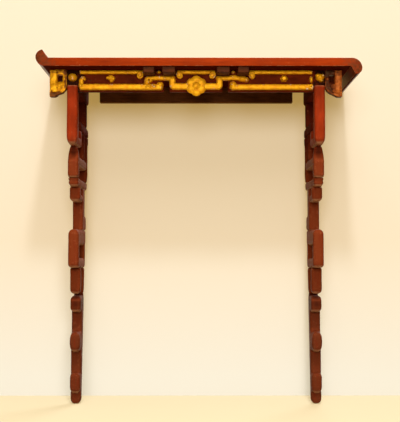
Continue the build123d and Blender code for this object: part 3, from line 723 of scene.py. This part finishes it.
# petals set in a ring round a middle
petalTree, given = newTree("petalsInRing", {"Count": 6, "Ring": 17.0})
ring = addNode(petalTree, "GeometryNodeMeshCircle", {"Vertices": given["Count"], "Radius": given["Ring"]})
spot = addNode(petalTree, "GeometryNodeInputPosition")
facing = addNode(petalTree, "FunctionNodeAlignRotationToVector", {"Vector": spot.outputs[0]}, axis="Y",
                 pivot_axis="Z")
petals = addNode(petalTree, "GeometryNodeInstanceOnPoints", {
    "Points": ring.outputs[0], "Instance": given["Geometry"], "Rotation": facing.outputs[0]})
endTree(petalTree, petals.outputs[0])

# lumps, discs and dishes: how finely they are drawn, how steep a disc's side is, and a dish's rim and floor
shaping = {"lumpSides": 20, "lumpRings": 12, "discSides": 28, "discSlope": 0.9,
           "dishSteps": 24, "rimWidth": 3.6, "rimEdge": 1.6, "floorIn": 1.2, "floorShare": 0.84}
# the grid that carving is worked on, how often it is smoothed, how far and deep its cuts are looked for,
# and the waver of the hand
carving = {"grain": 0.9, "soften": 3, "cutReach": 9, "cutScale": 0.5, "waver": 0.4, "waverLength": 7.0}


def strap(points, width, relief, edge, turn=6.0, closed=False):
    curve = bpy.data.curves.new("line", "CURVE")
    curve.dimensions = "3D"
    spline = curve.splines.new("POLY")
    spline.points.add(len(points) - 1)
    for target, point in zip(spline.points, points):
        target.co = (point[0], point[1], 0, 1)
    spline.use_cyclic_u = closed
    return runTree(link("line", curve), strapTree, {
        "Width": float(width), "Relief": float(relief), "Edge": float(edge), "Turn": float(turn)})


def lump(x, y, along, across, relief, turn=0.0, rise=0.0):
    # a rounded swelling: half lengths along and across, how far it stands out, its turn, and how high its
    # middle lies
    work = bmesh.new()
    shape = (Matrix.Translation((x, y, rise)) @ Matrix.Rotation(math.radians(turn), 4, "Z") @
             Matrix.Diagonal((along, across, relief - rise, 1)))
    bmesh.ops.create_uvsphere(work, u_segments=shaping["lumpSides"], v_segments=shaping["lumpRings"],
                              radius=1, matrix=shape)
    return meshOf("lump", work)


def disc(x, y, along, across, relief, turn=0.0):
    # a flat round with sloping sides
    work = bmesh.new()
    shape = (Matrix.Translation((x, y, 0)) @ Matrix.Rotation(math.radians(turn), 4, "Z") @
             Matrix.Diagonal((along, across, relief, 1)))
    bmesh.ops.create_cone(work, cap_ends=True, segments=shaping["discSides"], radius1=1,
                          radius2=shaping["discSlope"], depth=2, matrix=shape)
    return meshOf("disc", work)


def dish(x, y, along, across, relief, turn):
    # an oval with a raised rim and a sunk middle
    lean = Matrix.Rotation(math.radians(turn), 2)
    rimIn, floorIn = shaping["rimWidth"] / 2, shaping["floorIn"]
    angles = [k * math.tau / shaping["dishSteps"] for k in range(shaping["dishSteps"])]
    rim = [Vector((x, y)) + lean @ Vector(((along - rimIn) * math.cos(angle),
                                           (across - rimIn) * math.sin(angle))) for angle in angles]
    return [strap(rim, shaping["rimWidth"], relief, shaping["rimEdge"], 0.0, True),
            disc(x, y, along - floorIn, across - floorIn, relief * shaping["floorShare"], turn)]


def pointsAt(edges, rows):
    # each row: the edges that a point is placed from, its x and y from them
    return [(edges[side] + x, edges[level] + y) for side, level, x, y in rows]


def lumpsAt(edges, rows):
    # each row: the same, and then the swelling's shape
    return [lump(edges[side] + x, edges[level] + y, *shape) for side, level, x, y, *shape in rows]


def carve(node, parts, slot="gilt", back=0.0, paintedShadingAt=None, **changes):
    # joins the parts into one carved piece and cuts it off flat at the back
    hand = dict(carving, **changes)
    name = node + "_carved"
    mesh = softened(name, parts, hand["grain"], hand["soften"])
    places, normals = readPoints(mesh), readPoints(mesh, "normal")
    wavers = [noise.noise(Vector(place) / hand["waverLength"]) for place in places]
    places += normals * np.array(wavers)[:, None] * hand["waver"]
    mesh.vertices.foreach_set("co", places.ravel())
    work = bmesh.new()
    work.from_mesh(mesh)
    bmesh.ops.bisect_plane(work, geom=work.verts[:] + work.edges[:] + work.faces[:], plane_co=(0, 0, back),
                           plane_no=(0, 0, 1), clear_inner=True)
    bmesh.ops.holes_fill(work, edges=[edge for edge in work.edges if edge.is_boundary])
    bmesh.ops.recalc_face_normals(work, faces=work.faces)
    work.to_mesh(mesh)
    work.free()
    markHollows(mesh, hand["cutReach"], hand["cutScale"], paintedShadingAt)
    mesh.transform(toFrieze)
    finishPiece(name, mesh, slot, node)


# upper rails: a shallow moulding, its inner end hanging in a dished oval
upperRail = {
    "width": 10.0, "relief": 7.5, "edge": 3.5, "endIn": 2, "drop": 0.5, "cutScale": 0.9,
    "ovalAlong": 7.8, "ovalAcross": 9.8, "ovalRelief": 9.0, "ovalIn": 8.5, "ovalUp": 8.5, "lean": 22,
    # which ends of each rail hang in an oval
    "ovals": {"left_upper_rail": ("right",), "centre_upper_rail": ("left", "right"),
              "right_upper_rail": ("left",)}}

for node, ends in upperRail["ovals"].items():
    edges = onFrieze(node)
    y = edges["top"] - upperRail["width"] / 2 - upperRail["drop"]
    parts = [strap([(edges["left"] + upperRail["endIn"], y), (edges["right"] - upperRail["endIn"], y)],
                   upperRail["width"], upperRail["relief"], upperRail["edge"])]
    for end in ends:
        way = 1 if end == "left" else -1
        parts += dish(edges[end] + way * upperRail["ovalIn"], edges["bottom"] + upperRail["ovalUp"],
                      upperRail["ovalAlong"], upperRail["ovalAcross"], upperRail["ovalRelief"],
                      way * upperRail["lean"])
    carve(node, parts, cutScale=upperRail["cutScale"])

# lower rails: a bolder moulding with a knob at the inner end
lowerRail = {"relief": 9.5, "edge": 4.5, "lift": 8}
# the left one's stem turns up at the outer end into a curled bud
leftRail = {
    "width": 15.5, "line": [("left", "rail", 3, 0), ("right", "rail", -3, 0)],
    "stem": [("right", "rail", -8, 0), ("left", "rail", 6, 0), ("left", "top", 6, -12)],
    "stemWidth": 12, "stemRelief": 9.0, "stemEdge": 4.2,
    # the rounded inner end, the knob, the bud's three leaves and the stem's heel
    "lumps": [("right", "rail", -4.5, 0, 6.0, 7.75, 9.5),
              ("right", "bottom", -6, 13.5, 9.0, 8.2, 10.5),
              ("left", "top", 10.5, -8, 7.4, 6.0, 10.5, -25),
              ("left", "top", 5.5, -13, 5.6, 6.4, 9.5),
              ("left", "top", 14, -10.5, 4.2, 3.8, 9.0),
              ("left", "rail", 5, 3, 6.5, 9.5, 12.0, 10)],
    # small leaves beside the knob: x from the inner end, y from the rail's middle, and half length
    "leaves": [(-36, 3.5, 4.6), (-31, 0.5, 3.8), (-26, 3.8, 4.8), (-21, 0.2, 4.0), (-16, 3.4, 4.4),
               (-40, -1.5, 3.8)],
    "leafSlim": 0.8, "leafRelief": 11.4, "leafTurn": 35, "leafRise": 4}
# the right one ends in a dished bud
rightRail = {
    "width": 14.5, "line": [("left", "rail", 6, 0), ("right", "rail", -1, 0)],
    # the knob, its leaf, the bud's stem and the rounded inner end
    "lumps": [("left", "bottom", 9, 14, 9, 9, 11.0), ("left", "bottom", 17, 10.5, 7, 5, 10.5, -15),
              ("right", "top", -5, -8, 5.0, 9.0, 9.5, 0), ("left", "rail", 9, 0, 10, 8.2, 10.4)],
    "bud": ("right", "rail", -5.2, 1), "budAlong": 5.4, "budAcross": 5.8, "budRelief": 10.5}

edges = onFrieze("left_lower_rail")
edges["rail"] = edges["bottom"] + lowerRail["lift"]
parts = [strap(pointsAt(edges, leftRail["stem"]), leftRail["stemWidth"], leftRail["stemRelief"],
               leftRail["stemEdge"]),
         strap(pointsAt(edges, leftRail["line"]), leftRail["width"], lowerRail["relief"], lowerRail["edge"])]
parts += lumpsAt(edges, leftRail["lumps"])
for x, y, size in leftRail["leaves"]:
    parts.append(lump(edges["right"] + x, edges["rail"] + y, size, size * leftRail["leafSlim"],
                      leftRail["leafRelief"], leftRail["leafTurn"], leftRail["leafRise"]))
carve("left_lower_rail", parts)

edges = onFrieze("right_lower_rail")
edges["rail"] = edges["bottom"] + lowerRail["lift"]
parts = [strap(pointsAt(edges, rightRail["line"]), rightRail["width"], lowerRail["relief"],
               lowerRail["edge"])]
parts += lumpsAt(edges, rightRail["lumps"])
(budX, budY), = pointsAt(edges, [rightRail["bud"]])
parts += dish(budX, budY, rightRail["budAlong"], rightRail["budAcross"], rightRail["budRelief"], 0)
carve("right_lower_rail", parts)

# frets: straps that step down beside the rosette
fret = {
    "bar": 11.2, "riser": 16.0, "foot": 16.6, "relief": 9.5, "edge": 4.6,
    # how far the bar lies below the top edge, the riser out from the middle, and the foot up
    "barDrop": 5.4, "riserOut": 58.2, "footUp": 8,
    "riserHead": 2.5, "riserTurn": 4, "heel": 8, "footEnd": 20,
    # the bar of each side, and its swellings
    "left": {"way": -1, "line": [("left", "bar", 6, -12), ("left", "bar", 6, 0), ("riser", "bar", 0, 0)],
             "lumps": [("left", "bar", 8, -9, 8.6, 8.6, 10.6, -12),
                       ("left", "bar", 16.5, -6.5, 5.6, 4.8, 10.0, 30),
                       ("riser", "bar", -1, 0.5, 8.5, 6.8, 11.0, 20)]},
    "right": {"way": 1, "line": [("riser", "bar", -2, 0), ("right", "bar", -14, 0)],
              "lumps": [("right", "bar", -36, 2.4, 13, 6.4, 10.8, 2),
                        ("right", "bar", -14, -1.2, 15, 8.4, 11.2, -6),
                        ("right", "bar", -5, -3.6, 7.5, 6.8, 10.8, -20),
                        ("riser", "bar", -1, -1, 9.5, 7.5, 11.0, -25)]}}

for side in ("left", "right"):
    edges, way = onFrieze(side + "_fret"), fret[side]["way"]
    edges["bar"] = barY = edges["top"] - fret["barDrop"]
    edges["riser"] = riserX = way * fret["riserOut"]
    footY = edges["bottom"] + fret["footUp"]
    riser = [(riserX, barY - fret["riserHead"]), (riserX, footY), (riserX - way * fret["heel"], footY)]
    foot = [(riserX, footY), (way * fret["footEnd"], footY)]
    parts = [strap(pointsAt(edges, fret[side]["line"]), fret["bar"], fret["relief"], fret["edge"]),
             strap(riser, fret["riser"], fret["relief"], fret["edge"], fret["riserTurn"]),
             strap(foot, fret["foot"], fret["relief"], fret["edge"])]
    carve(side + "_fret", parts + lumpsAt(edges, fret[side]["lumps"]))

# rosette: six plump petals that grow together, round a low button
rosette = {
    "petals": 6, "ring": 14.8, "petalWide": 12.8, "petalLong": 11.2, "petalRelief": 11.4,
    "petalRise": 6.6, "seatIn": 1, "disc": 15.0, "discRelief": 10.6, "buttonWide": 10.2,
    "buttonLong": 9.6, "buttonRelief": 13.4, "buttonRise": 9.0, "aside": 0.6, "grain": 0.8, "soften": 6,
    "cutScale": 0.9}

edges = onFrieze("rosette")
petal = lump(0, 0, rosette["petalWide"], rosette["petalLong"], rosette["petalRelief"], 0,
             rosette["petalRise"])
seat = disc(0, 0, rosette["petalWide"] - rosette["seatIn"], rosette["petalLong"] - rosette["seatIn"],
            rosette["petalRise"])
flower = runTree(link("petal", joined("petal", [petal, seat])), petalTree,
                 {"Count": rosette["petals"], "Ring": rosette["ring"]})
flower.transform(Matrix.Rotation(math.radians(90), 4, "Z"))
parts = [flower, disc(0, 0, rosette["disc"], rosette["disc"], rosette["discRelief"]),
         lump(0, 0, rosette["buttonWide"], rosette["buttonLong"], rosette["buttonRelief"], 0,
              rosette["buttonRise"])]
for part in parts:
    part.transform(Matrix.Translation(((edges["left"] + edges["right"]) / 2 + rosette["aside"],
                                       edges["middle"], 0)))
carve("rosette", parts, grain=rosette["grain"], soften=rosette["soften"], cutScale=rosette["cutScale"])

# studs on the ground: a small bud of four leaves on the left, a cut six-sided one on the right
studs = {
    "grain": 0.7,
    "leaves": [("left", "middle", 10.5, 1.5, 8.6, 7.8, 10.5),
               ("left", "middle", 3.2, 2, 5.4, 4.2, 7.5, 15),
               ("left", "middle", 17, -0.5, 4.4, 6.0, 9.5, -15),
               ("left", "middle", 12, -6.5, 5.0, 4.6, 8.5)],
    "sides": 6, "radius": 10.2, "topRadius": 5.0, "deep": 10.0, "in": 9.8, "rise": 4.0, "turn": 30}

edges = onFrieze("ground_studs")
work = bmesh.new()
place = Matrix.Translation((edges["right"] - studs["in"], edges["middle"], studs["rise"]))
bmesh.ops.create_cone(work, cap_ends=True, segments=studs["sides"], radius1=studs["radius"],
                      radius2=studs["topRadius"], depth=studs["deep"],
                      matrix=place @ Matrix.Rotation(math.radians(studs["turn"]), 4, "Z"))
carve("ground_studs", lumpsAt(edges, studs["leaves"]) + [meshOf("stud", work)], grain=studs["grain"])

# bosses over the legs: a domed mushroom on the left, a rougher knot on the right
bosses = {
    "grain": 0.8,
    "lumps": [("left", "middle", 11, -0.5, 11.8, 10.4, 12.0),
              ("right", "middle", -9.5, -0.5, 10.6, 10.0, 12.4),
              ("right", "middle", -15.5, 4, 6.4, 5.6, 10.8, 15),
              ("right", "middle", -3.5, 3.5, 5.8, 5.6, 11.0, -30),
              ("right", "middle", -7, -7, 6.0, 5.0, 10.6, 20)]}
carve("head_bosses", lumpsAt(onFrieze("head_bosses"), bosses["lumps"]), grain=bosses["grain"])

# beads between the blocks under the overhang
beads = {"grain": 0.7, "lumps": [("left", "middle", 5, 0, 5.4, 4.2, 8.0),
                                 ("right", "middle", -5, 0, 5.4, 4.2, 8.0)]}
carve("strut_beads", lumpsAt(onFrieze("strut_beads"), beads["lumps"]), grain=beads["grain"])
print("frieze carving is done")

# pierced brackets outside the legs: a sunk ground with a frame, a bud beside the hole and leafy lobes below
gildedBracket = {
    "slot": "gilt", "ground": 9.0,
    # the upright bar along the outer edge: relief, width, edge, how far in, and its ends from top and bottom
    "bar": 11.5, "barWidth": 18.5, "barEdge": 4.2, "barIn": 9.5, "barHead": 2, "barFoot": 16,
    "topBar": 9.5, "topBarWidth": 12, "topBarEdge": 3, "topBarIn": 1, "topBarDrop": 6,
    "bud": 6.4, "budRelief": 10.5, "budIn": 5.5, "budDrop": 23,
    # each lobe: distance in from the outer edge, height, half lengths along and across, relief and turn
    "lobes": [(12, 28, 14, 12, 12.6, 50), (24, 28, 12, 10, 12.2, 30), (33, 31, 8.0, 9.0, 11.5, 0),
              (12, 15, 10, 10, 12.4, 45), (22, 18, 11, 9, 12.0, 35)],
    # darker below the toe's height, and painted shade above the head's, on the top bar under the overhang,
    # and further in than the hole's edge, beside the leg: where, over how far, and how dark
    "toeDarkening": (14, 5, 1.1), "headShade": (54, 6, 0.5), "holeShade": (33, 8, 1.0),
    "soften": 7, "cutScale": 0.8, "waver": 1.0}
rubbedBracket = dict(
    gildedBracket, slot="worn_gilt", ground=7.0, topBar=5.0, toeDarkening=(6, 5, 1.1),
    headShade=(46, 6, 0.5), holeShade=(17, 8, 1.0),
    lobes=[(10, 26, 13, 11, 11.5, 60), (22, 26, 12, 9.5, 10.4, 40),
           (33, 30, 8.5, 8.5, 9.0, 25), (10, 13, 9, 9, 11.0, 50),
           (20, 15, 10, 8, 9.8, 35)])


def bracket(node, way, look):
    # way is the direction outwards, away from the leg
    edges = onFrieze(node)
    bottom, top = edges["bottom"], edges["top"]
    inner, outer = (edges["right"], edges["left"]) if way < 0 else (edges["left"], edges["right"])
    body = mergedCopy(node)
    body.transform(toFrieze.inverted())
    for vertex in body.vertices:
        if vertex.co.z > 0:
            vertex.co.z = look["ground"]
    barX, topBarY = outer - way * look["barIn"], top - look["topBarDrop"]
    parts = [body,
             strap([(barX, top - look["barHead"]), (barX, bottom + look["barFoot"])], look["barWidth"],
                   look["bar"], look["barEdge"]),
             strap([(outer - way * look["topBarIn"], topBarY), (inner + way * look["topBarIn"], topBarY)],
                   look["topBarWidth"], look["topBar"], look["topBarEdge"]),
             lump(inner + way * look["budIn"], top - look["budDrop"], look["bud"], look["bud"],
                  look["budRelief"])]
    for inward, height, along, across, relief, turn in look["lobes"]:
        parts.append(lump(outer - way * inward, bottom + height, along, across, relief, -way * turn))
    thickness = -(toFrieze.inverted() @ Vector(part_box(node)[1])).z
    (toe, toeFade, toeDark), (head, headFade, headDark) = look["toeDarkening"], look["headShade"]
    hole, holeFade, holeDark = look["holeShade"]

    # darker at the toe, painted shade on the top bar and on the inner strip beside the leg
    def paintedShading(x, y, z):
        return (toeDark * ramp(toe - (y - bottom), toeFade) + headDark * ramp(y - bottom - head, headFade) +
                holeDark * ramp(abs(x - outer) - hole, holeFade))

    carve(node, parts, look["slot"], -thickness, paintedShading, soften=look["soften"], cutScale=look["cutScale"],
          waver=look["waver"])


bracket("left_spandrel", -1, gildedBracket)
bracket("right_spandrel", 1, rubbedBracket)
print("brackets are carved")

for node, slot in slots.items():
    if slot == "bare_wood":
        frame["nodes"][node].data.materials.clear()
        frame["nodes"][node].data.materials.append(finishes[slot][0])
print("pegs are left bare")
